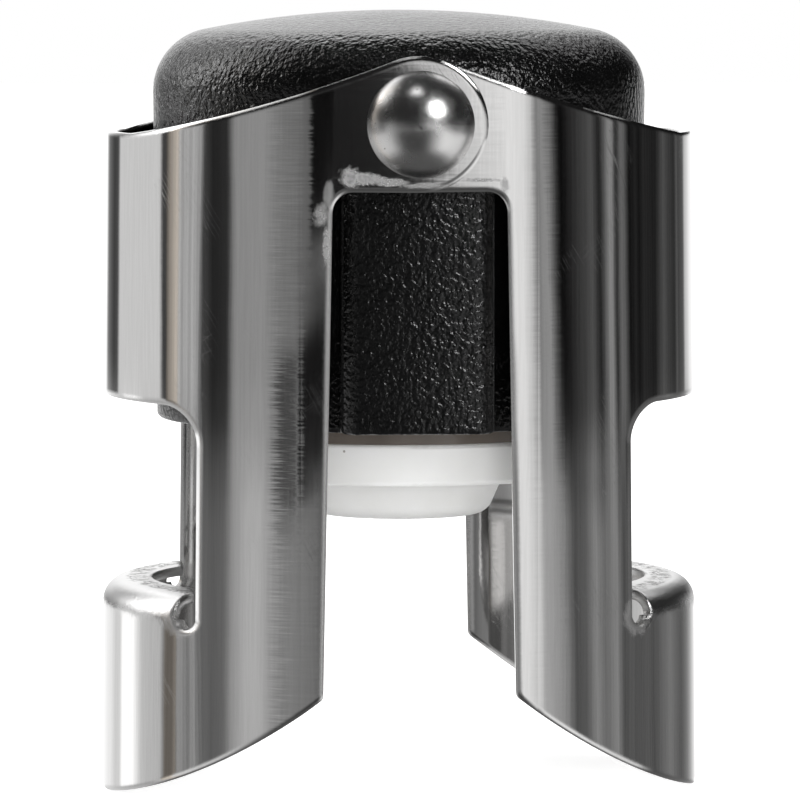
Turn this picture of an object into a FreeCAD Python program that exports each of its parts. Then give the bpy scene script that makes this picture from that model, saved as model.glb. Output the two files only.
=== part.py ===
# Champagne stopper: a moulded body with a sprung seal, and two stamped steel wings on pivot rivets.
#
# Frame: +Z up, origin on the surface it stands on, midway between the wings' feet.
# The pivot axis runs along Y, one wing lies on each side of it, and X crosses the wings.
# All lengths are millimetres. The wings are one stamping, used twice, half a turn apart.

import os
from math import asin, atan2, cos, degrees, pi, radians, sin, sqrt, tan

import FreeCAD
import Part

V = FreeCAD.Vector
X_AXIS = V(1, 0, 0)
Y_AXIS = V(0, 1, 0)
Z_AXIS = V(0, 0, 1)

# Clearances, each used wherever that kind of fit occurs
RUNNING_FIT = 0.06      # between a wing's hole and the rivet in it, on the radius
FACE_PLAY = 0.06        # between faces that slide on each other at the pivots
SLIDING_FIT = 0.12      # between the plunger and the ribs and post that guide it

# Wings: the sheet and its section, seen from above
SHEET = 0.7
WING_RADIUS = 22.5      # outer radius of the round side
EAR_INSET = 1.32        # of the flat ears' outer face from the round side's radius
SECTION_BLEND = 6.0     # outer radius between round side and flat ear

# Wings: the outline, seen from the front
PIVOT_HEIGHT = 51.25
STANDS_OPEN = 0.58      # degrees by which each wing stands open at rest
EAR_RADIUS = 5.0
SHOULDER_SLOPE = 21.3   # degrees, where the top edge leaves the ear
SHOULDER_TURN = 8.4     # degrees by which the top edge levels out on its way down
SHOULDER_INSET = 1.7    # from the round side to where the top edge becomes level
GAP_HALF_TOP = 6.4      # half the gap between the wings, under the ears
GAP_HALF_LOW = 6.75     # and at its lower end
GAP_CORNER = 1.5
TOE_HEIGHT = 8.86       # where the gap's edge meets the slanting lower edge
TOE_ROUND = 0.45
FOOT_INSET = 0.2        # from the round side to where the lower edge meets the floor
LOWER_EDGE_BULGE = 0.66

# Wings: window, relief slots and hook tab, seen from the side
WINDOW_HEIGHT = 14.25   # above the hook tab
WINDOW_CORNER = 2.8
TAB_TOP = 15.75
TAB_BEND = 1.8          # outer radius of the tab's bend
TAB_HALF = 13.9         # half its width at the wall
SLOT_WIDTH = 1.9        # of the relief slot down each side of it
SLOT_DEPTH = 0.7        # how far the relief slots go below the bend

# Wings: the hook tab, seen from above
HOOK_LENGTH = 6.5       # from the round side to its end
HOOK_MIDDLE = 3.75      # and to the bottom of the hollow in its end
HOOK_HOLLOW = 13.5      # radius of that hollow, which clears the bottle's neck
HOOK_HALF = 12.6        # half its width at its end
HOOK_CORNER = 0.8

# Rivets
RIVET_RADIUS = 2.1
RIVET_HEAD_RADIUS = 3.95
RIVET_HEAD_HEIGHT = 2.7
RIVET_RIM = 0.35        # upright rim under the dome
RIVET_GRIP = 6.0        # length held in the body

# Body
CAP_ABOVE_PIVOT = 8.3
SKIRT_BELOW_PIVOT = 22.94
CAP_ROOM = 3.6          # between the cap and the wings' round side, with the sheet
SKIRT_DRAFT = 0.26      # by which the skirt's bottom is less in radius than the cap
DOME_RADIUS = 77.0
CAP_ROUND = 4.9
RIM_ROUND = 0.4
SKIRT_WALL = 1.9
CAP_WALL = 2.6
PAD_HALF = 5.75         # half width of the flat pads that the ears lie on
PAD_ABOVE_PIVOT = 4.0
PAD_CORNER = 3.5
PAD_EDGE_ROUND = 1.5    # upright edges, so that a closing wing passes them
RIB_COUNT = 12          # ribs inside the skirt that guide the plunger
RIB_WIDTH = 1.2
RIB_DEPTH = 1.92
POCKET_ABOVE_SEAT = 3.5

# Plunger, its post, stop and spring
PLUNGER_STANDS_OUT = 1.15
PLUNGER_DISC = 1.9
PLUNGER_SKIRT = 4.6
PLUNGER_SKIRT_WALL = 1.3
PLUNGER_TUBE_RADIUS = 7.0
PLUNGER_TUBE_HEIGHT = 8.8
PLUNGER_RECESS_DEPTH = 5.3
POST_RADIUS = 3.0
STOP_RADIUS = 4.8
STOP_THICKNESS = 0.8
STOP_CLEARANCE = 0.4    # between the stop washer and the recess it is in
SCREW_RADIUS = 1.5
SCREW_LENGTH = 11.0
SCREW_HEAD_RADIUS = 2.9
SCREW_HEAD_HEIGHT = 1.6
SCREW_RECESS_RADIUS = 1.3
SCREW_RECESS_DEPTH = 0.9
SPRING_SEAT_DEPTH = 16.69   # above the body's rim
SPRING_SEAT_WALL = 3.0
SPRING_WIRE = 1.3
SPRING_TURNS = 4.5
SPRING_ROOM = 0.5       # between the spring and the tube inside it

# Seal
SEAL_SETBACK = 0.15     # of the seal's edge from the plunger's, so that it follows into the bore
SEAL_FLANGE = 3.17
SEAL_EDGE_ROUND = 0.35
PLUG_RADIUS = 8.2
PLUG_HEIGHT = 3.2
PLUG_TAPER = 24.0       # degrees from upright
PLUG_NOSE_ROUND = 1.5
BEAD_INNER = 9.0
BEAD_OUTER = 10.5
BEAD_HEIGHT = 0.9

OVERCUT = 2.0           # by which a cutting block reaches past what it cuts

# Worked out from the above
LAP_SHIFT = (SHEET + FACE_PLAY) / 2
FLAT_DEPTH = WING_RADIUS - EAR_INSET
SHOULDER_REACH = WING_RADIUS - SHOULDER_INSET
FOOT_REACH = WING_RADIUS - FOOT_INSET
HOOK_END = WING_RADIUS - HOOK_LENGTH
HOOK_REACH = WING_RADIUS - HOOK_MIDDLE
WINDOW_TOP = TAB_TOP + WINDOW_HEIGHT
WINDOW_HALF = TAB_HALF + SLOT_WIDTH
BODY_TOP = PIVOT_HEIGHT + CAP_ABOVE_PIVOT
BODY_BOTTOM = PIVOT_HEIGHT - SKIRT_BELOW_PIVOT
CAP_RADIUS = WING_RADIUS - CAP_ROOM
SKIRT_RADIUS = CAP_RADIUS - SKIRT_DRAFT
BORE_RADIUS = SKIRT_RADIUS - SKIRT_WALL - RIB_DEPTH
PLUNGER_RADIUS = BORE_RADIUS - SLIDING_FIT
SPRING_SEAT_HEIGHT = BODY_BOTTOM + SPRING_SEAT_DEPTH
POCKET_TOP = SPRING_SEAT_HEIGHT + POCKET_ABOVE_SEAT
PAD_FACE = FLAT_DEPTH - SHEET - LAP_SHIFT - FACE_PLAY
HEAD_SEAT = FLAT_DEPTH + LAP_SHIFT + FACE_PLAY
BEND_START = TAB_TOP - TAB_BEND
WING_REACH = WING_RADIUS + OVERCUT
OPEN_ANGLE = radians(STANDS_OPEN)
# The foot's height on the upright wing, from which it swings onto the floor as the wing stands open
FOOT_HEIGHT = PIVOT_HEIGHT - (PIVOT_HEIGHT + FOOT_REACH * sin(OPEN_ANGLE)) / cos(OPEN_ANGLE)
PLUNGER_BOTTOM = BODY_BOTTOM - PLUNGER_STANDS_OUT
RECESS_TOP = PLUNGER_BOTTOM + PLUNGER_RECESS_DEPTH
DISC_TOP = PLUNGER_BOTTOM + PLUNGER_DISC
SEAL_RADIUS = PLUNGER_RADIUS - SEAL_SETBACK
SPRING_INNER = PLUNGER_TUBE_RADIUS + SPRING_ROOM
SPRING_MEAN = SPRING_INNER + SPRING_WIRE / 2
CAVITY_TOP = BODY_TOP - CAP_WALL


def polar(centre, radius, angle):
    """The point of the XY plane at an angle, in degrees, round a centre."""
    a = radians(angle)
    return V(centre.x + radius * cos(a), centre.y + radius * sin(a), 0)


def line(a, b):
    return Part.LineSegment(a, b).toShape()


def arc(a, middle, b):
    return Part.Arc(a, middle, b).toShape()


def bulged(a, b, rise):
    """An arc from a to b, in the XZ plane, that passes the chord's middle at a distance."""
    chord = b - a
    side = Y_AXIS.cross(chord).normalize()
    return arc(a, (a + b) * 0.5 + side * rise, b)


def face_of(edges):
    return Part.Face(Part.Wire(edges))


def polygon(points):
    return face_of([line(a, b) for a, b in zip(points, points[1:] + points[:1])])


def ring(inner, outer, bottom, top):
    """A tube about the Z axis."""
    wall = Part.makeCylinder(outer, top - bottom, V(0, 0, bottom))
    if inner <= 0:
        return wall
    return wall.cut(Part.makeCylinder(inner, top - bottom, V(0, 0, bottom)))


def turned(profile):
    """The solid that a half profile in the XZ plane makes round the Z axis."""
    return profile.revolve(V(0, 0, 0), Z_AXIS, 360)


def edges_along(shape, direction, keep):
    """The straight edges that run along a direction and whose middle passes a test."""
    found = []
    for edge in shape.Edges:
        if edge.Curve.TypeId != "Part::GeomLine":
            continue
        if abs(abs(edge.Curve.Direction.dot(direction)) - 1) > 1e-6:
            continue
        if keep(edge.CenterOfMass):
            found.append(edge)
    return found


def wing_section():
    """The wing cut level, in its own frame: two flat ears, a round side and the blends between."""
    blend_y = FLAT_DEPTH - SECTION_BLEND
    blend_x = sqrt((WING_RADIUS - SECTION_BLEND) ** 2 - blend_y ** 2)
    turn = degrees(atan2(-blend_y, -blend_x))
    origin = V(0, 0, 0)
    front = V(-blend_x, -blend_y, 0)
    rear = V(-blend_x, blend_y, 0)

    def skin(inset):
        """One face of the sheet, from the front ear's end round to the rear ear's end."""
        r = WING_RADIUS - inset
        b = SECTION_BLEND - inset
        flat = FLAT_DEPTH - inset
        return [
            line(V(EAR_RADIUS, -flat, 0), V(-blend_x, -flat, 0)),
            arc(V(-blend_x, -flat, 0), polar(front, b, (turn - 90) / 2), polar(front, b, turn)),
            arc(polar(origin, r, turn), V(-r, 0, 0), polar(origin, r, -turn)),
            arc(polar(rear, b, -turn), polar(rear, b, (90 - turn) / 2), V(-blend_x, flat, 0)),
            line(V(-blend_x, flat, 0), V(EAR_RADIUS, flat, 0)),
        ]

    ends = [
        line(V(EAR_RADIUS, s * FLAT_DEPTH, 0), V(EAR_RADIUS, s * (FLAT_DEPTH - SHEET), 0))
        for s in (-1, 1)
    ]
    loop = Part.__sortEdges__(skin(0) + skin(SHEET) + ends)
    return face_of(loop)


def wing_outline():
    """The wing's outline from the front, as a block that reaches through both ears."""
    slope = radians(SHOULDER_SLOPE)
    chord_slope = radians(SHOULDER_SLOPE - SHOULDER_TURN / 2)
    ear_leave = V(-EAR_RADIUS * sin(slope), 0, PIVOT_HEIGHT + EAR_RADIUS * cos(slope))
    run = SHOULDER_REACH + ear_leave.x
    shoulder_end = ear_leave + V(-run, 0, -run * tan(chord_slope))
    shoulder_sag = run / cos(chord_slope) / 2 * tan(radians(SHOULDER_TURN) / 4)
    gap_top = PIVOT_HEIGHT - EAR_RADIUS
    ear_foot = V(0, 0, gap_top)
    gap_corner = V(-GAP_HALF_TOP, 0, gap_top)
    toe = V(-GAP_HALF_LOW, 0, TOE_HEIGHT)
    foot = V(-FOOT_REACH, 0, FOOT_HEIGHT)
    face = face_of([
        arc(ear_foot, V(EAR_RADIUS, 0, PIVOT_HEIGHT), ear_leave),
        bulged(ear_leave, shoulder_end, -shoulder_sag),
        line(shoulder_end, V(-WING_REACH, 0, shoulder_end.z)),
        line(V(-WING_REACH, 0, shoulder_end.z), V(-WING_REACH, 0, FOOT_HEIGHT)),
        line(V(-WING_REACH, 0, FOOT_HEIGHT), foot),
        bulged(foot, toe, LOWER_EDGE_BULGE),
        line(toe, gap_corner),
        line(gap_corner, ear_foot),
    ])
    block = face.extrude(Y_AXIS * (2 * WING_REACH))
    block.translate(Y_AXIS * -WING_REACH)
    near = lambda point: lambda c: abs(c.x - point.x) < 0.01 and abs(c.z - point.z) < 0.01
    block = block.makeFillet(GAP_CORNER, edges_along(block, Y_AXIS, near(gap_corner)))
    return block.makeFillet(TOE_ROUND, edges_along(block, Y_AXIS, near(toe)))


def wing_window():
    """What is punched out of the side: the window and a relief slot down each side of the tab."""
    height = WINDOW_TOP - BEND_START
    corner = V(-WING_REACH, -WINDOW_HALF, BEND_START)
    window = Part.makeBox(WING_REACH, 2 * WINDOW_HALF, height, corner)
    top = lambda c: c.z > WINDOW_TOP - 0.01
    window = window.makeFillet(WINDOW_CORNER, edges_along(window, X_AXIS, top))
    slot_radius = SLOT_WIDTH / 2
    slot_middle = TAB_HALF + slot_radius
    round_z = BEND_START - SLOT_DEPTH + slot_radius
    for side in (-1, 1):
        y = side * slot_middle
        slot = Part.makeCylinder(slot_radius, WING_REACH, V(-WING_REACH, y, round_z), X_AXIS)
        window = window.fuse(slot)
    return window


def hook_plan():
    """The hook tab's sides and its end with a hollow, seen from above, as a block taller than the tab."""
    root = V(-sqrt(WING_RADIUS ** 2 - TAB_HALF ** 2), TAB_HALF, 0)
    corner = V(-HOOK_END, HOOK_HALF, 0)
    outer = V(-WING_REACH, TAB_HALF, 0)
    hollow_x = HOOK_HOLLOW - HOOK_REACH
    horn = V(-HOOK_END, sqrt(HOOK_HOLLOW ** 2 - (HOOK_END + hollow_x) ** 2), 0)
    across = lambda point: V(point.x, -point.y, 0)
    plan = face_of([
        line(outer, root),
        line(root, corner),
        line(corner, horn),
        arc(horn, V(-HOOK_REACH, 0, 0), across(horn)),
        line(across(horn), across(corner)),
        line(across(corner), across(root)),
        line(across(root), across(outer)),
        line(across(outer), outer),
    ])
    block = plan.extrude(Z_AXIS * (TAB_TOP + OVERCUT))
    at_end = lambda c: abs(c.x + HOOK_END) < 0.01
    return block.makeFillet(HOOK_CORNER, edges_along(block, Z_AXIS, at_end))


def hook_tab():
    """The tab at the window's foot: a quarter bend off the wall and a level shelf with a hollow end."""
    bend_middle = WING_RADIUS - TAB_BEND
    inner_bend = TAB_BEND - SHEET
    shelf_end = HOOK_END - OVERCUT
    diagonal = sin(pi / 4)

    def at(radius, height):
        return V(-radius, 0, height)

    def on_bend(radius):
        return at(bend_middle + radius * diagonal, BEND_START + radius * diagonal)

    profile = face_of([
        arc(at(WING_RADIUS, BEND_START), on_bend(TAB_BEND), at(bend_middle, TAB_TOP)),
        line(at(bend_middle, TAB_TOP), at(shelf_end, TAB_TOP)),
        line(at(shelf_end, TAB_TOP), at(shelf_end, TAB_TOP - SHEET)),
        line(at(shelf_end, TAB_TOP - SHEET), at(bend_middle, TAB_TOP - SHEET)),
        arc(at(bend_middle, TAB_TOP - SHEET), on_bend(inner_bend), at(WING_RADIUS - SHEET, BEND_START)),
        line(at(WING_RADIUS - SHEET, BEND_START), at(WING_RADIUS, BEND_START)),
    ])
    sweep = 2 * degrees(asin(WINDOW_HALF / WING_RADIUS))
    strip = profile.revolve(V(0, 0, 0), Z_AXIS, sweep)
    strip.rotate(V(0, 0, 0), Z_AXIS, -sweep / 2)
    return strip.common(hook_plan())


def left_wing():
    """The stamping on the left, pushed forward so that its front ear laps over the other one's."""
    shell = wing_section().extrude(Z_AXIS * BODY_TOP)
    shell.translate(Z_AXIS * FOOT_HEIGHT)
    wing = shell.common(wing_outline())
    wing = wing.cut(wing_window())
    wing = wing.fuse(hook_tab()).removeSplitter()
    hole = Part.makeCylinder(
        RIVET_RADIUS + RUNNING_FIT, 4 * WING_RADIUS, V(0, -2 * WING_RADIUS, PIVOT_HEIGHT), Y_AXIS
    )
    wing = wing.cut(hole)
    wing.translate(Y_AXIS * -LAP_SHIFT)
    wing.rotate(V(0, 0, PIVOT_HEIGHT), Y_AXIS, STANDS_OPEN)
    return wing


def right_wing():
    wing = left_wing()
    wing.rotate(V(0, 0, 0), Z_AXIS, 180)
    return wing


def front_rivet():
    """A domed head over the lapped ears and a shank that the body holds."""
    dome_height = RIVET_HEAD_HEIGHT - RIVET_RIM
    dome_radius = (RIVET_HEAD_RADIUS ** 2 + dome_height ** 2) / (2 * dome_height)
    half_turn = asin(RIVET_HEAD_RADIUS / dome_radius) / 2
    crown = RIVET_HEAD_HEIGHT - dome_radius
    shank = HEAD_SEAT - PAD_FACE + RIVET_GRIP
    profile = face_of([
        line(V(0, 0, -shank), V(RIVET_RADIUS, 0, -shank)),
        line(V(RIVET_RADIUS, 0, -shank), V(RIVET_RADIUS, 0, 0)),
        line(V(RIVET_RADIUS, 0, 0), V(RIVET_HEAD_RADIUS, 0, 0)),
        line(V(RIVET_HEAD_RADIUS, 0, 0), V(RIVET_HEAD_RADIUS, 0, RIVET_RIM)),
        arc(
            V(RIVET_HEAD_RADIUS, 0, RIVET_RIM),
            V(dome_radius * sin(half_turn), 0, crown + dome_radius * cos(half_turn)),
            V(0, 0, RIVET_HEAD_HEIGHT),
        ),
        line(V(0, 0, RIVET_HEAD_HEIGHT), V(0, 0, -shank)),
    ])
    rivet = turned(profile)
    rivet.rotate(V(0, 0, 0), X_AXIS, 90)
    rivet.translate(V(0, -HEAD_SEAT, PIVOT_HEIGHT))
    return rivet


def rear_rivet():
    rivet = front_rivet()
    rivet.rotate(V(0, 0, 0), Z_AXIS, 180)
    return rivet


def body_outside():
    """Domed cap and drafted skirt in one turned form, with a rounded rim."""
    fillet_x = CAP_RADIUS - CAP_ROUND
    dome_z = BODY_TOP - DOME_RADIUS
    fillet_z = dome_z + sqrt((DOME_RADIUS - CAP_ROUND) ** 2 - fillet_x ** 2)
    lean = atan2(fillet_x, fillet_z - dome_z)
    leave = V(DOME_RADIUS * sin(lean), 0, dome_z + DOME_RADIUS * cos(lean))
    half_lean = lean / 2
    mid_turn = (lean + pi / 2) / 2
    return turned(face_of([
        arc(
            V(0, 0, BODY_TOP),
            V(DOME_RADIUS * sin(half_lean), 0, dome_z + DOME_RADIUS * cos(half_lean)),
            leave,
        ),
        arc(
            leave,
            V(fillet_x + CAP_ROUND * sin(mid_turn), 0, fillet_z + CAP_ROUND * cos(mid_turn)),
            V(CAP_RADIUS, 0, fillet_z),
        ),
        line(V(CAP_RADIUS, 0, fillet_z), V(SKIRT_RADIUS, 0, BODY_BOTTOM)),
        line(V(SKIRT_RADIUS, 0, BODY_BOTTOM), V(0, 0, BODY_BOTTOM)),
        line(V(0, 0, BODY_BOTTOM), V(0, 0, BODY_TOP)),
    ]))


def body_pads():
    """One block through the body that stands out front and rear as the ears' flat pads."""
    top = PIVOT_HEIGHT + PAD_ABOVE_PIVOT
    block = Part.makeBox(
        2 * PAD_HALF, 2 * PAD_FACE, top - BODY_BOTTOM, V(-PAD_HALF, -PAD_FACE, BODY_BOTTOM)
    )
    upper = lambda c: c.z > top - 0.01
    block = block.makeFillet(PAD_CORNER, edges_along(block, Y_AXIS, upper))
    upright = lambda c: c.z < top - PAD_CORNER
    return block.makeFillet(PAD_EDGE_ROUND, edges_along(block, Z_AXIS, upright))


def body_pockets():
    """The spaces between the guide ribs inside the skirt, clear of the rivets' bosses."""
    height = POCKET_TOP - BODY_BOTTOM
    pockets = ring(BORE_RADIUS, SKIRT_RADIUS - SKIRT_WALL, BODY_BOTTOM, POCKET_TOP)
    boss = Part.makeBox(
        2 * PAD_HALF, 4 * CAP_RADIUS, height, V(-PAD_HALF, -2 * CAP_RADIUS, BODY_BOTTOM)
    )
    pockets = pockets.cut(boss)
    step = 360 / RIB_COUNT
    for n in range(RIB_COUNT // 2):
        rib = Part.makeBox(
            4 * CAP_RADIUS, RIB_WIDTH, height, V(-2 * CAP_RADIUS, -RIB_WIDTH / 2, BODY_BOTTOM)
        )
        rib.rotate(V(0, 0, 0), Z_AXIS, (n + 0.5) * step - 90)
        pockets = pockets.cut(rib)
    return pockets


def body():
    """Cap, skirt and pads in one moulding, cored from below round its post and its spring seat."""
    shell = body_outside().fuse(body_pads()).removeSplitter()
    rim = [
        e for e in shell.Edges
        if e.BoundBox.ZMax < BODY_BOTTOM + 0.01
    ]
    shell = shell.makeFillet(RIM_ROUND, rim)
    seat_outer = SPRING_INNER + SPRING_SEAT_WALL
    shell = shell.cut(ring(POST_RADIUS, BORE_RADIUS, BODY_BOTTOM, SPRING_SEAT_HEIGHT))
    shell = shell.cut(ring(seat_outer, BORE_RADIUS, SPRING_SEAT_HEIGHT, POCKET_TOP))
    shell = shell.cut(ring(POST_RADIUS, SPRING_INNER, SPRING_SEAT_HEIGHT, CAVITY_TOP))
    shell = shell.cut(ring(0, POST_RADIUS, BODY_BOTTOM, RECESS_TOP))
    shell = shell.cut(ring(0, SCREW_RADIUS, RECESS_TOP, RECESS_TOP + SCREW_LENGTH))
    shell = shell.cut(body_pockets())
    for side in (-1, 1):
        start = V(0, side * PAD_FACE, PIVOT_HEIGHT)
        shell = shell.cut(Part.makeCylinder(RIVET_RADIUS, RIVET_GRIP, start, Y_AXIS * -side))
    return shell


def plunger():
    """The disc that carries the seal, with a guiding skirt and a tube that slides on the post."""
    disc = ring(0, PLUNGER_RADIUS, PLUNGER_BOTTOM, DISC_TOP)
    skirt = ring(
        PLUNGER_RADIUS - PLUNGER_SKIRT_WALL, PLUNGER_RADIUS, DISC_TOP, PLUNGER_BOTTOM + PLUNGER_SKIRT
    )
    tube = ring(0, PLUNGER_TUBE_RADIUS, DISC_TOP, PLUNGER_BOTTOM + PLUNGER_TUBE_HEIGHT)
    part = disc.fuse(skirt).fuse(tube).removeSplitter()
    part = part.cut(ring(0, STOP_RADIUS + STOP_CLEARANCE, PLUNGER_BOTTOM, RECESS_TOP))
    part = part.cut(
        ring(0, POST_RADIUS + SLIDING_FIT, RECESS_TOP, PLUNGER_BOTTOM + PLUNGER_TUBE_HEIGHT)
    )
    return part.cut(ring(BEAD_INNER, BEAD_OUTER, PLUNGER_BOTTOM, PLUNGER_BOTTOM + BEAD_HEIGHT))


def seal():
    """Flange that seats on the bottle's lip, tapered plug below it, and a bead held by the plunger."""
    flange_bottom = PLUNGER_BOTTOM - SEAL_FLANGE
    nose = flange_bottom - PLUG_HEIGHT
    nose_radius = PLUG_RADIUS - PLUG_HEIGHT * tan(radians(PLUG_TAPER))
    profile = polygon([
        V(0, 0, nose),
        V(nose_radius, 0, nose),
        V(PLUG_RADIUS, 0, flange_bottom),
        V(SEAL_RADIUS, 0, flange_bottom),
        V(SEAL_RADIUS, 0, PLUNGER_BOTTOM),
        V(0, 0, PLUNGER_BOTTOM),
    ])
    solid = turned(profile)
    nose_edge = [e for e in solid.Edges if e.BoundBox.ZMax < nose + 0.01]
    solid = solid.makeFillet(PLUG_NOSE_ROUND, nose_edge)
    outer = [e for e in solid.Edges if e.BoundBox.XMax > SEAL_RADIUS - 0.01 and e.BoundBox.ZLength < 0.01]
    solid = solid.makeFillet(SEAL_EDGE_ROUND, outer)
    bead = ring(BEAD_INNER, BEAD_OUTER, PLUNGER_BOTTOM, PLUNGER_BOTTOM + BEAD_HEIGHT)
    return solid.fuse(bead).removeSplitter()


def stop_washer():
    return ring(SCREW_RADIUS, STOP_RADIUS, RECESS_TOP - STOP_THICKNESS, RECESS_TOP)


def stop_screw():
    """Pan-head screw up into the post, with a square recess for the driver."""
    under_head = RECESS_TOP - STOP_THICKNESS
    head_bottom = under_head - SCREW_HEAD_HEIGHT
    head = ring(0, SCREW_HEAD_RADIUS, head_bottom, under_head)
    lower = [e for e in head.Edges if e.BoundBox.ZMax < head_bottom + 0.01]
    head = head.makeFillet(SCREW_HEAD_HEIGHT / 2, lower)
    recess = Part.makeBox(
        2 * SCREW_RECESS_RADIUS, 2 * SCREW_RECESS_RADIUS, SCREW_RECESS_DEPTH,
        V(-SCREW_RECESS_RADIUS, -SCREW_RECESS_RADIUS, head_bottom),
    )
    shank = ring(0, SCREW_RADIUS, under_head, RECESS_TOP + SCREW_LENGTH)
    return head.fuse(shank).cut(recess).removeSplitter()


def spring():
    """Compression spring between the plunger's disc and the body's seat, its ends ground flat."""
    height = SPRING_SEAT_HEIGHT - DISC_TOP
    pitch = height / SPRING_TURNS
    path = Part.Wire(Part.makeHelix(pitch, height, SPRING_MEAN).Edges)
    section = Part.Wire([Part.makeCircle(SPRING_WIRE / 2, V(SPRING_MEAN, 0, 0), Y_AXIS)])
    wire = path.makePipeShell([section], True, True)
    wire.translate(V(0, 0, DISC_TOP))
    room = ring(0, SPRING_MEAN + SPRING_WIRE, DISC_TOP, SPRING_SEAT_HEIGHT)
    return wire.common(room)


NODES = {
    "body": body,
    "left_wing": left_wing,
    "right_wing": right_wing,
    "front_rivet": front_rivet,
    "rear_rivet": rear_rivet,
    "plunger": plunger,
    "seal": seal,
    "spring": spring,
    "stop_washer": stop_washer,
    "stop_screw": stop_screw,
}


def main():
    os.makedirs("parts", exist_ok=True)
    for name, make in NODES.items():
        shape = make()
        print(name, "valid", shape.isValid(), "solids", len(shape.Solids), "mm3", round(shape.Volume, 1))
        shape.exportStep(os.path.join("parts", name + ".step"))


main()
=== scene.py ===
"""Looks of a champagne stopper: black moulded body, two polished steel wings, domed rivets, white seal."""

from math import cos, radians, sin

import bmesh
import bpy
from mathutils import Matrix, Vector

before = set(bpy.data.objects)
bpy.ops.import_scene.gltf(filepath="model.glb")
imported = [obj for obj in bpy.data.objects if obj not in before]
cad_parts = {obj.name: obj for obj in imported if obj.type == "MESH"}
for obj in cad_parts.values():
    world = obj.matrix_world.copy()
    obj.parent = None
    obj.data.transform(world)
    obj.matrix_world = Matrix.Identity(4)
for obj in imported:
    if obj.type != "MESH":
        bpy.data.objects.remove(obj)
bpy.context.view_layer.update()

MM = 0.001

# Camera: where it stands round the object and how it looks at it
CAMERA_SWING = radians(4.25)
CAMERA_DIP = radians(4.11)
CAMERA_DISTANCE = 452.8 * MM
CAMERA_AIM = Vector((0, 0, 29.48 * MM))
CAMERA_LENS = 263.95
CAMERA_SENSOR = 36
CAMERA_SHIFT = 0.0014

# Studio: the walls and cards that polished steel shows, as how bright they look in it.
# Each pair is degrees away from the camera's side, and brightness from 0 to 1.
LEFT_WALLS = [
    (0, 0.42), (8, 0.40), (20, 0.34), (40, 0.38), (50, 0.45), (58, 0.53), (70, 0.52), (72, 0.40),
    (74, 0.18), (81, 0.15), (85, 0.25), (87, 0.58), (89, 0.58), (91, 0.66), (93, 0.58), (95, 0.64),
    (97, 0.58), (100, 0.72), (105, 0.50), (107, 0.24), (109, 0.24), (111, 0.76), (145, 0.75),
    (148, 0.28), (153, 0.24), (163, 0.43), (169, 0.92), (180, 0.97),
]
RIGHT_WALLS = [
    (0, 0.12), (3.8, 0.16), (5.5, 0.72), (9, 0.86), (30, 0.84), (42, 0.72), (49, 0.46), (55, 0.54),
    (58, 0.30), (61, 0.06), (66, 0.17), (76, 0.30), (80, 0.14), (85, 0.50), (87, 0.49), (89, 0.16),
    (92, 0.40), (94, 0.34), (97, 0.09), (101, 0.15), (103, 0.10), (106, 0.16), (115, 0.13), (122, 0.30),
    (126, 0.24), (133, 0.18), (136, 0.34), (137, 0.25), (144, 0.32), (147, 0.68), (156, 0.86), (180, 0.97),
]
# The same walls further down, where the steel below the seal mirrors them
LEFT_WALLS_LOW = [
    (0, 0.45), (6, 0.58), (12, 0.36), (20, 0.42), (48, 0.48), (53, 0.55), (59, 0.66), (65, 0.65),
    (71, 0.55), (75, 0.38), (81, 0.35), (86, 0.40), (90, 0.55), (93, 0.44), (97, 0.55), (100, 0.47),
    (102, 0.38), (106, 0.38), (109, 0.68), (117, 0.70), (122, 0.73), (127, 0.92), (129, 1.0),
    (139, 1.0), (142, 0.79), (147, 0.77), (153, 0.86), (180, 0.95),
]
RIGHT_WALLS_LOW = [
    (0, 0.35), (8, 0.42), (15, 0.45), (21, 0.84), (32, 0.84), (41, 0.78), (50, 0.62), (56, 0.56),
    (59, 0.50), (64, 0.30), (69, 0.34), (75, 0.50), (80, 0.40), (87, 0.50), (92, 0.29), (96, 0.34),
    (100, 0.31), (108, 0.33), (113, 0.30), (118, 0.37), (126, 0.44), (134, 0.36), (138, 0.33),
    (146, 0.45), (156, 0.72), (170, 0.95), (180, 0.97),
]
# What is above and below those walls, which only edges, bends, the rivets and the plastic mirror
LEFT_ABOVE = [
    (0, 0.12), (90, 0.12), (104, 0.78), (125, 0.78), (140, 0.25), (158, 0.60), (168, 0.97), (180, 0.97),
]
RIGHT_ABOVE = [(0, 0.12), (156, 0.10), (168, 0.9), (180, 0.97)]
LEFT_BELOW = [(0, 0.24), (36, 0.25), (54, 0.55), (66, 0.75), (98, 0.80), (115, 0.60), (180, 0.80)]
RIGHT_BELOW = [
    (0, 0.25), (12, 0.28), (32, 0.70), (50, 0.90), (98, 0.80), (110, 0.30), (150, 0.40), (180, 0.75),
]
ZENITH = 0.12                   # brightness straight above
NADIR = 0.32                    # and straight below
WALL_TOP = (1.5, 5.0)           # degrees of climb between which the walls end above
WALL_BOTTOM = (-10.5, -14.0)    # and below
WALL_CHANGE = (-3.3, -4.9)      # and where the high walls change to the low ones
CEILING = (58, 68)              # where the zone above turns into the ceiling
FLOOR_MIDDLE = (-40, -60)       # and the zone below into the middle of the floor
HALF_TURN = 180
SURROUND_GAMMA = 2.2            # from how bright the walls look to how much light they give
SURROUND_GAIN = 1.42            # makes up for what the steel takes away
# Dark cards on the left, near the camera: from and to in degrees of turn, then of climb, and brightness
DARK_CARDS = [(-1, 28, -2.1, 1.5, 0.08), (10, 39, -4.5, -3.1, 0.09), (45.5, 50.5, -4.6, -3.3, 0.24)]
CARD_FRAY = 26                  # degrees by which the cards' ends are ragged
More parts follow.
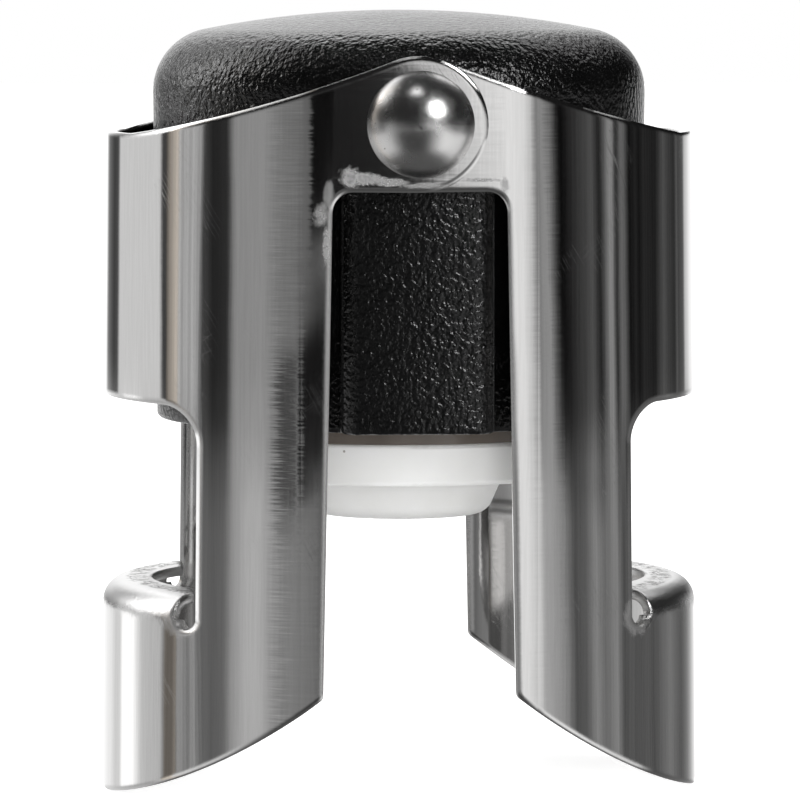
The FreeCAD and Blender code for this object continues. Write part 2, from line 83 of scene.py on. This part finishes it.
# Soft boxes above the walls: side, from and to in turn, then in climb, soft edge in degrees, radiance
SOFT_BOXES = [
    (-1, -20, 28, 61, 70, 5, 1.8), (1, -20, 4, 61, 70, 5, 1.8), (-1, 86, 120, 32, 50, 6, 0.9),
    (-1, 106, 140, 8, 36, 6, 1.1), (-1, 112, 124, 16, 32, 3, 4.0), (1, 25, 43, 20, 37, 3, 13.0),
    (-1, 128, 190, 34, 58, 6, 1.5), (1, 128, 190, 34, 58, 6, 1.5),
]
RIGHT_LEAN = 0.9                # by which the right walls near the camera turn with the climb
LEAN_MIDDLE = -1.6              # the climb at which they stand as listed
LEAN_ENDS = (110, 60)           # and the turns between which the lean fades
EVEN_LIGHT = 0.85               # the surround's light on all that doesn't mirror it
# Folds in the walls: from and to in turn, soft edge, strength
LEFT_FOLDS = [(86, 100, 3, 0.4), (60, 160, 10, 0.12)]
RIGHT_FOLDS = [(60, 150, 10, 0.2)]
BEIGE_WALL = (100, 106, 1.5)    # from and to in turn on the left, and its soft edge
BEIGE = (1.0, 0.90, 0.79, 1)
WHITE = (1, 1, 1, 1)
# Lamps: name, size across, power, place and what each is aimed at, in metres
LAMPS = [
    ("key_lamp", 0.5, 5.0, (-0.5, -0.55, 0.75), (0, 0, 0.03)),
    ("fill_lamp", 0.6, 3.0, (0.6, -0.35, 0.5), (0, 0, 0.03)),
    ("front_lamp", 0.35, 3.5, (0.05, -1.0, 0.1), (0, 0, 0.025)),
]
FLOOR_HALF = 3.0                # metres
FLOOR_SHADE = (0.9, 0.9, 0.9, 1)
FLOOR_LIFT = 0.66               # light of its own, for the camera only, so that it shows white

# Steel, with places in mm
STEEL_COLOUR = (0.72, 0.715, 0.71, 1)
STEEL_SHADE = (0.69, 0.685, 0.68, 1)
SCRATCH_COLOUR = (0.86, 0.86, 0.86, 1)
SATIN_COLOUR = (0.52, 0.52, 0.52, 1)
FROST_COLOUR = (0.13, 0.13, 0.133, 1)
DIRT_COLOUR = (0.035, 0.032, 0.03, 1)
STEEL_ROUGHNESS = 0.035
SHEET_EDGE_ROUND = 0.6 * MM
BEVEL_SAMPLES = 8
# Scratches both ways across the sheet: angle in degrees, how many, and where the noise starts
SCRATCHES = [(28, 0.40, 3.1), (-52, 0.36, 7.7)]
PIT_PLACE = (22.2, -3.6, 4.7)   # on the right wing's foot
PIT_EDGE = (0.22, 0.12)         # the radii between which it gets dark
# Frosty smears on the front ear: where across and up, half length and half height in mm, and strength
FROST_SPOTS = [
    (-5.2, 47.35, 0.85, 0.72, 0.85), (-3.9, 47.3, 1.35, 0.5, 0.8), (-2.1, 47.0, 1.5, 0.32, 0.55),
    (0.3, 46.75, 2.3, 0.25, 0.4), (-7.3, 44.6, 0.65, 0.95, 0.5), (-6.95, 42.4, 0.3, 1.7, 0.6),
    (-6.75, 46.1, 0.4, 1.1, 0.3), (4.6, 47.15, 1.3, 0.2, 0.5), (6.3, 46.8, 0.35, 0.55, 0.4),
]
EAR_ZONE = 8.8                  # from the pivot axis within which a wing's ears are flat
EAR_BLEND = (8.2, 10.4, 1.2)    # where the ear turns into the round side, and its soft edge
EAR_STREAKS = {-1: 0.16, 1: 0.02}   # how much that stretch is streaked, on the left wing and the right
EAR_CROWN = 0.0022              # slight doming of the flat ears
FRONT_FACE = -20.3              # across y, in front of which lies the front ear's outer face
TAB_HEIGHT = 15.4               # of the hook tab's bend
TAB_HALF_WIDTH = 14.2
SLOT_MIDDLE = (14.85, 14.2)     # the relief slot's, across y and up
FOLD_RADIUS = 20.3              # from the bottle's axis to the fold on top of the tab
PAD_FRONT = (18.9, 19.4)        # across y, between which the body's flat pads begin
PAD_CROWN = -0.018              # slight doming of those pads


class Wire:
    """The output of a node. Python's operators on it add Math nodes."""

    def __init__(self, board, socket):
        self.board = board
        self.socket = socket

    def maths(self, operation, *terms):
        return self.board.maths(operation, *terms)

    def __add__(self, other):
        return self.maths("ADD", self, other)

    def __radd__(self, other):
        return self.maths("ADD", other, self)

    def __sub__(self, other):
        return self.maths("SUBTRACT", self, other)

    def __rsub__(self, other):
        return self.maths("SUBTRACT", other, self)

    def __mul__(self, other):
        return self.maths("MULTIPLY", self, other)

    def __rmul__(self, other):
        return self.maths("MULTIPLY", other, self)

    def __truediv__(self, other):
        return self.maths("DIVIDE", self, other)

    def __pow__(self, other):
        return self.maths("POWER", self, other)

    def __neg__(self):
        return self.maths("MULTIPLY", self, -1)

    def __abs__(self):
        return self.maths("ABSOLUTE", self)

    def least(self, other):
        return self.maths("MINIMUM", self, other)

    def most(self, other):
        return self.maths("MAXIMUM", self, other)


class Board:
    """The node tree of a material or of the world, while it is wired."""

    def __init__(self, tree):
        self.tree = tree
        tree.nodes.clear()

    def node(self, kind, settings=None, inputs=(), output=0):
        """Adds a node: its settings first, then values or wires for its sockets by name or by number."""
        made = self.tree.nodes.new(kind)
        for key, value in (settings or {}).items():
            if key == "stops":
                self.set_stops(made.color_ramp, value)
            else:
                setattr(made, key, value)
        pairs = inputs.items() if isinstance(inputs, dict) else enumerate(inputs)
        for key, value in pairs:
            if isinstance(value, Wire):
                self.tree.links.new(value.socket, made.inputs[key])
            else:
                made.inputs[key].default_value = value
        return Wire(self, made.outputs[output]) if made.outputs else made

    def maths(self, operation, *terms):
        return self.node("ShaderNodeMath", {"operation": operation}, terms)

    def set_stops(self, ramp, stops):
        while len(ramp.elements) < len(stops):
            ramp.elements.new(1)
        for element, (place, level) in zip(ramp.elements, stops):
            element.position = place
            element.color = (level, level, level, 1) if isinstance(level, (int, float)) else level

    def place(self):
        """Object coordinates in millimetres, as a vector."""
        raw = self.node("ShaderNodeTexCoord", output="Object")
        return self.scaled(raw, (1 / MM, 1 / MM, 1 / MM))

    def scaled(self, vector, factors):
        return self.node("ShaderNodeVectorMath", {"operation": "MULTIPLY"}, (vector, factors))

    def distance(self, vector, point):
        inputs = (vector, point)
        return self.node("ShaderNodeVectorMath", {"operation": "DISTANCE"}, inputs, output="Value")

    def join(self, x, y, z):
        return self.node("ShaderNodeCombineXYZ", None, (x, y, z))

    def parts(self, vector):
        """The three numbers of a vector."""
        return [self.node("ShaderNodeSeparateXYZ", None, (vector,), output=axis) for axis in "XYZ"]

    def noise(self, vector, scale, detail=2.0, roughness=0.5, distortion=0.0):
        inputs = {
            "Vector": vector, "Scale": scale, "Detail": detail, "Roughness": roughness,
            "Distortion": distortion,
        }
        return self.node("ShaderNodeTexNoise", None, inputs)

    def ripple(self, value, **sockets):
        """Noise along one number, from about -0.5 to 0.5."""
        inputs = {"W": value, **sockets}
        return self.node("ShaderNodeTexNoise", {"noise_dimensions": "1D"}, inputs) - 0.5

    def cells(self, vector, scale, feature="F1"):
        inputs = {"Vector": vector, "Scale": scale}
        return self.node("ShaderNodeTexVoronoi", {"feature": feature}, inputs)

    def rise(self, value, low, high):
        """A smooth step from 0 at the first mark to 1 at the second one."""
        inputs = {"Value": value, "From Min": low, "From Max": high}
        return self.node("ShaderNodeMapRange", {"interpolation_type": "SMOOTHSTEP"}, inputs)

    def between(self, value, low, high, edge):
        """1 between two marks, with a soft edge outside each."""
        return self.rise(value, low - edge, low) * self.rise(value, high + edge, high)

    def blend(self, amount, first, second):
        """A colour between two colours. A Mix node's sockets for colours are its 6th and 7th."""
        inputs = {0: amount, 6: first, 7: second}
        return self.node("ShaderNodeMix", {"data_type": "RGBA"}, inputs, output=2)

    def bump(self, height, normal=None):
        """A bump from a height in millimetres."""
        inputs = {"Height": height, "Distance": MM, "Strength": 1.0}
        if normal is not None:
            inputs["Normal"] = normal
        return self.node("ShaderNodeBump", None, inputs)

    def surface(self, **sockets):
        """The finished surface, from values and wires by socket name with underscores for spaces."""
        inputs = {key.replace("_", " "): value for key, value in sockets.items()}
        shader = self.node("ShaderNodeBsdfPrincipled", None, inputs)
        self.node("ShaderNodeOutputMaterial", None, (shader,))


def new_material(name):
    material = bpy.data.materials.new(name)
    material.use_nodes = True
    return material, Board(material.node_tree)


def finish_node(node, material):
    """Gives a CAD node its material in every slot."""
    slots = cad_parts[node].data.materials
    if not slots:
        slots.append(material)
    for index in range(len(slots)):
        slots[index] = material


def scratches(board, place, angle, density, seed):
    """Fine straight scratches that run at an angle in the face seen from the front."""
    turned = board.node(
        "ShaderNodeMapping", {"vector_type": "POINT"},
        {"Vector": place, "Location": (seed, seed / 2, -seed), "Rotation": (0, radians(angle), 0)},
    )
    long_noise = board.noise(board.scaled(turned, (3.2, 0.5, 0.045)), 1.0, detail=0.0)
    lines = board.rise(abs(long_noise - 0.5), 0.007, 0.0)
    here = board.rise(board.noise(place, 0.16, detail=1.0), 1 - density, 1 - density + 0.08)
    return lines * here


def frost(board, place):
    """The frosty smears round the gap's top left corner, on the front ear."""
    x, y, z = board.parts(place)
    coarse = board.noise(place, 0.9, detail=5.0, roughness=0.7, distortion=0.6) - 0.5
    whole = 0.0
    for spot_x, spot_z, length, height, strength in FROST_SPOTS:
        far = board.join((x - spot_x) / length, 0.0, (z - spot_z) / height)
        near = board.rise(board.distance(far, (0, 0, 0)) + coarse * 1.8, 1.15, 0.35) * strength
        whole = near.most(whole)
    mottled = board.noise(place, 3.0, detail=3.0) * 0.9 + 0.5
    return (whole * mottled).least(1.0) * board.rise(y, FRONT_FACE, FRONT_FACE - 0.3)


def crinkles(board, place):
    """Where the hook tab was bent: how satin it is, and the dark cracks and residue there."""
    x, y, z = board.parts(place)
    ragged = board.noise(place, 0.9, detail=4.0, roughness=0.6) - 0.5
    satin = board.rise(abs(z - TAB_HEIGHT) + ragged * 0.9, 1.9, 0.6)
    satin = satin * board.rise(abs(y), TAB_HALF_WIDTH + 0.4, TAB_HALF_WIDTH - 0.3)
    radius = board.distance(board.join(x, y, 0.0), (0, 0, 0))
    fold = board.between(radius + ragged * 1.6, FOLD_RADIUS - 0.5, FOLD_RADIUS + 0.4, 0.5) * satin
    wander = board.noise(place, 0.9, detail=4.0, roughness=0.6, distortion=0.8)
    cracks = board.rise(abs(wander - 0.5), 0.05, 0.01) * fold
    slot_y, slot_z = SLOT_MIDDLE
    far = board.distance(board.join(abs(y), z, 0.0), (slot_y, slot_z, 0.0))
    residue = board.rise(far + ragged * 1.5, 1.6, 0.9) * 0.4
    return satin, fold, cracks, residue


def sheet_normal(board, place, side):
    """The sheet's own normal: its rounded edges, and streaks that sway it sideways near the ears."""
    across_ears = abs(board.parts(place)[0])
    streaks = board.noise(board.scaled(place, (0.3, 0.3, 7.0)), 1.0, detail=3.0, roughness=0.6) - 0.5
    near_ear = board.rise(across_ears, EAR_ZONE + 1.5, EAR_ZONE - 2.0)
    blend_zone = board.between(across_ears, *EAR_BLEND) * EAR_STREAKS[side]
    sway = streaks * (near_ear * 0.02 + blend_zone + 0.004)
    soft_edge = board.node("ShaderNodeBevel", {"samples": BEVEL_SAMPLES}, {"Radius": SHEET_EDGE_ROUND})
    sideways = board.node("ShaderNodeVectorMath", {"operation": "CROSS_PRODUCT"}, (soft_edge, (0, 0, 1)))
    terms = (sideways, board.join(sway, sway, sway), soft_edge)
    swayed = board.node("ShaderNodeVectorMath", {"operation": "MULTIPLY_ADD"}, terms)
    return board.node("ShaderNodeVectorMath", {"operation": "NORMALIZE"}, (swayed,))


def steel(name, side):
    """Polished stainless sheet of one wing. side is -1 for the left wing and 1 for the right one."""
    material, board = new_material(name)
    place = board.place()
    x, y, z = board.parts(place)

    drawn = board.noise(board.scaled(place, (5.0, 5.0, 0.22)), 1.0, detail=3.0)
    waves = board.noise(place, 0.11, detail=1.0)
    one_way, other_way = [scratches(board, place, *scratch) for scratch in SCRATCHES]
    marks = one_way.most(other_way)
    frosted = frost(board, place)
    satin, fold, cracks, residue = crinkles(board, place)
    dark = cracks.most(residue)
    if side > 0:
        dark = dark.most(board.rise(board.distance(place, PIT_PLACE), *PIT_EDGE))

    crown = (x * x).least(EAR_ZONE * EAR_ZONE) * -1
    lumps = board.noise(place, 1.6, detail=4.0, roughness=0.65)
    height = waves * 0.02 + drawn * 0.0006 + crown * EAR_CROWN - marks * 0.0006
    height = height + satin * lumps * 0.035 + fold * lumps * 0.14 - cracks * 0.05
    normal = board.bump(height, normal=sheet_normal(board, place, side))

    colour = board.blend(board.rise(drawn, 0.35, 0.65), STEEL_SHADE, STEEL_COLOUR)
    colour = board.blend(marks * 0.35, colour, SCRATCH_COLOUR)
    colour = board.blend(satin * 0.5, colour, SATIN_COLOUR)
    colour = board.blend(frosted * 0.9, colour, FROST_COLOUR)
    colour = board.blend(dark, colour, DIRT_COLOUR)
    roughness = STEEL_ROUGHNESS + drawn * 0.02 + marks * 0.1 + satin * 0.26 + frosted * 0.45
    metallic = 1 - (frosted * 0.6).most(dark * 0.6)
    board.surface(Base_Color=colour, Metallic=metallic, Roughness=roughness, Normal=normal)
    return material


def rivet_steel():
    """The domed heads: duller than the sheet, a little hazy, with tiny pits."""
    material, board = new_material("rivet_steel")
    place = board.place()
    haze = board.noise(place, 0.55, detail=3.0)
    pits = board.rise(board.cells(place, 1.3), 0.09, 0.04)
    normal = board.bump(haze * 0.02 - pits * 0.01)
    colour = board.blend(pits * 0.6, (0.66, 0.655, 0.65, 1), (0.2, 0.19, 0.18, 1))
    board.surface(Base_Color=colour, Metallic=1.0, Roughness=0.2 + haze * 0.12, Normal=normal)
    return material


def turned_steel():
    """Spring wire, washer and screw."""
    material, board = new_material("turned_steel")
    place = board.place()
    lines = board.noise(board.scaled(place, (1, 1, 12)), 1.0, detail=3.0)
    normal = board.bump(lines * 0.006)
    colour = board.blend(lines, (0.48, 0.48, 0.49, 1), (0.66, 0.66, 0.66, 1))
    board.surface(Base_Color=colour, Metallic=1.0, Roughness=0.24 + lines * 0.16, Normal=normal)
    return material


def black_plastic():
    """Moulded black plastic with a fine leather-like spark-eroded texture."""
    material, board = new_material("black_plastic")
    place = board.place()
    web = board.cells(place, 1.9, feature="SMOOTH_F1")
    grain = board.noise(place, 2.9, detail=1.8, roughness=0.5)
    broad = board.noise(place, 0.3, detail=2.0)
    x, y, z = board.parts(place)
    crown = x * x * board.rise(abs(y), *PAD_FRONT) * PAD_CROWN
    normal = board.bump(web * -0.07 + grain * 0.145 + crown)
    colour = board.blend(broad, (0.001, 0.001, 0.001, 1), (0.002, 0.002, 0.002, 1))
    board.surface(Base_Color=colour, Roughness=0.15 + broad * 0.1, Normal=normal, Specular_IOR_Level=0.5)
    return material


def plunger_plastic():
    """Smooth dark plastic with faint rings round it. Its brown-grey colour is partly its own tint and
    partly a painted reflection of the white surround.
    """
    material, board = new_material("plunger_plastic")
    place = board.place()
    cloud = board.noise(place, 0.4, detail=2.0)
    rings = board.noise(board.scaled(place, (0.5, 0.5, 6)), 1.0, detail=2.0)
    # Brown-grey base colour: partly the plastic's own tint, partly a painted reflection of the white
    # surround on glossy dark plastic
    colour = board.blend(cloud, (0.085, 0.07, 0.058, 1), (0.135, 0.115, 0.098, 1))
    normal = board.bump(rings * 0.01)
    board.surface(Base_Color=colour, Roughness=0.16 + cloud * 0.12, Normal=normal, Coat_Weight=0.25)
    return material


def white_silicone():
    """White silicone with a soft sheen and a few small specks."""
    material, board = new_material("white_silicone")
    place = board.place()
    cloud = board.noise(place, 0.35, detail=2.0)
    fine = board.noise(place, 3.0, detail=2.0)
    specks = board.rise(board.cells(place, 0.16), 0.02, 0.012)
    clean = board.blend(cloud, (0.80, 0.80, 0.785, 1), (0.87, 0.87, 0.865, 1))
    colour = board.blend(specks * 0.8, clean, (0.25, 0.23, 0.2, 1))
    normal = board.bump(fine * 0.008)
    board.surface(
        Base_Color=colour, Roughness=0.34 + fine * 0.14, Normal=normal,
        Subsurface_Weight=0.35, Subsurface_Radius=(1.0, 1.0, 0.95), Subsurface_Scale=1.4 * MM,
    )
    return material


def add_floor():
    """A wide pale floor that shows plain white, with the object's soft shadow on it."""
    mesh = bpy.data.meshes.new("floor")
    shape = bmesh.new()
    bmesh.ops.create_grid(shape, x_segments=1, y_segments=1, size=FLOOR_HALF)
    shape.to_mesh(mesh)
    shape.free()
    floor = bpy.data.objects.new("floor", mesh)
    bpy.context.scene.collection.objects.link(floor)
    floor.visible_glossy = False
    material, board = new_material("pale_floor")
    seen = board.node("ShaderNodeLightPath", output="Is Camera Ray")
    diffuse = board.node("ShaderNodeBsdfDiffuse", None, {"Color": FLOOR_SHADE})
    lift = board.node("ShaderNodeEmission", None, {"Color": WHITE, "Strength": seen * FLOOR_LIFT})
    both = board.node("ShaderNodeAddShader", None, (diffuse, lift))
    board.node("ShaderNodeOutputMaterial", None, (both,))
    mesh.materials.append(material)


def studio_wall(board, turn, stops):
    """The brightness of one side of the studio by the turn away from the camera's side."""
    ramp_stops = [(degrees / HALF_TURN, level) for degrees, level in stops]
    ramp = board.node("ShaderNodeValToRGB", {"stops": ramp_stops}, (turn / HALF_TURN,))
    return board.parts(ramp)[0]


def studio_walls(board, turn, high_walls, low_walls, low):
    high_level = studio_wall(board, turn, high_walls)
    return high_level + (studio_wall(board, turn, low_walls) - high_level) * low


def zone(board, turn, right, left_stops, right_stops):
    """What is above or below the walls, on both sides."""
    left_level = studio_wall(board, turn, left_stops)
    return left_level + (studio_wall(board, turn, right_stops) - left_level) * right


def hung_folds(board, turn, stretches):
    """How much the walls are folded, by the turn."""
    return sum(board.between(turn, start, end, edge) * depth for start, end, edge, depth in stretches)


def walls_round(board, turn, climb, right):
    """The ring of walls at the object's own height, with folds in it and dark cards before it."""
    low = board.rise(climb, *WALL_CHANGE)
    lean = (climb - LEAN_MIDDLE) * RIGHT_LEAN * board.rise(turn, *LEAN_ENDS)
    left_level = studio_walls(board, turn, LEFT_WALLS, LEFT_WALLS_LOW, low)
    right_level = studio_walls(board, turn + lean, RIGHT_WALLS, RIGHT_WALLS_LOW, low)
    folds = board.ripple(turn * 0.42, Detail=3.0)
    left_level = left_level + folds * hung_folds(board, turn, LEFT_FOLDS)
    right_level = right_level + folds * hung_folds(board, turn, RIGHT_FOLDS)
    frayed = turn + board.ripple(climb * 24, Detail=5.0, Roughness=0.7) * CARD_FRAY
    for start, end, bottom, top, shade in DARK_CARDS:
        card = board.between(frayed, start, end, 2.0) * board.between(climb, bottom, top, 0.3)
        left_level = left_level + (shade - left_level) * card
    return left_level + (right_level - left_level) * right


def mirrored_studio(board, turn, climb, right):
    """How much light steel and plastic mirror from each direction."""
    above = zone(board, turn, right, LEFT_ABOVE, RIGHT_ABOVE)
    below = zone(board, turn, right, LEFT_BELOW, RIGHT_BELOW)
    level = walls_round(board, turn, climb, right)
    level = level + (above - level) * board.rise(climb, *WALL_TOP)
    level = level + (below - level) * board.rise(climb, *WALL_BOTTOM)
    level = level + (ZENITH - level) * board.rise(climb, *CEILING)
    level = level + (NADIR - level) * board.rise(climb, *FLOOR_MIDDLE)
    light = level.most(0.0) ** SURROUND_GAMMA * SURROUND_GAIN
    for side, start, end, bottom, top, edge, radiance in SOFT_BOXES:
        box = board.between(turn, start, end, edge) * board.between(climb, bottom, top, edge)
        light = light + box * (right if side > 0 else 1 - right) * radiance
    return light


def set_world():
    """White behind the object, even light on it, and the studio where the object mirrors it."""
    world = bpy.data.worlds.new("studio")
    world.use_nodes = True
    bpy.context.scene.world = world
    board = Board(world.node_tree)
    x, y, z = board.parts(board.node("ShaderNodeTexCoord", output="Generated"))
    turn = board.maths("DEGREES", board.maths("ARCTAN2", abs(x), -y))
    climb = board.maths("DEGREES", board.maths("ARCSINE", z))
    right = board.maths("GREATER_THAN", x, 0.0)
    mirrored = mirrored_studio(board, turn, climb, right)
    beige = board.between(turn, *BEIGE_WALL) * (1 - right)
    glossy = board.node("ShaderNodeLightPath", output="Is Glossy Ray")
    camera = board.node("ShaderNodeLightPath", output="Is Camera Ray")
    plain = EVEN_LIGHT + camera * (1 - EVEN_LIGHT)
    inputs = {
        "Color": board.blend(beige, WHITE, BEIGE),
        "Strength": glossy * mirrored + (1 - glossy) * plain,
    }
    background = board.node("ShaderNodeBackground", None, inputs)
    board.node("ShaderNodeOutputWorld", None, (background,))


def add_lamp(name, size, energy, place, aim):
    """A soft box that lights the object but isn't mirrored in it."""
    light = bpy.data.lights.new(name, "AREA")
    light.shape = "DISK"
    light.size = size
    light.energy = energy
    lamp = bpy.data.objects.new(name, light)
    bpy.context.scene.collection.objects.link(lamp)
    lamp.location = place
    lamp.rotation_euler = (Vector(aim) - Vector(place)).to_track_quat("-Z", "Y").to_euler()
    lamp.visible_glossy = False


def add_camera():
    data = bpy.data.cameras.new("camera")
    data.lens = CAMERA_LENS
    data.sensor_width = CAMERA_SENSOR
    data.shift_x = CAMERA_SHIFT
    data.clip_start = 0.01
    camera = bpy.data.objects.new("camera", data)
    bpy.context.scene.collection.objects.link(camera)
    ahead = Vector((
        sin(CAMERA_SWING) * cos(CAMERA_DIP), cos(CAMERA_SWING) * cos(CAMERA_DIP), -sin(CAMERA_DIP)
    ))
    camera.location = CAMERA_AIM - ahead * CAMERA_DISTANCE
    camera.rotation_euler = ahead.to_track_quat("-Z", "Y").to_euler()
    bpy.context.scene.camera = camera


def finish_nodes():
    finish_node("left_wing", steel("left_wing_steel", -1))
    finish_node("right_wing", steel("right_wing_steel", 1))
    rivets = rivet_steel()
    finish_node("front_rivet", rivets)
    finish_node("rear_rivet", rivets)
    turned = turned_steel()
    for node in ("spring", "stop_washer", "stop_screw"):
        finish_node(node, turned)
    finish_node("body", black_plastic())
    finish_node("plunger", plunger_plastic())
    finish_node("seal", white_silicone())


finish_nodes()
add_floor()
set_world()
for lamp in LAMPS:
    add_lamp(*lamp)
add_camera()
bpy.context.scene.view_settings.view_transform = "Standard"
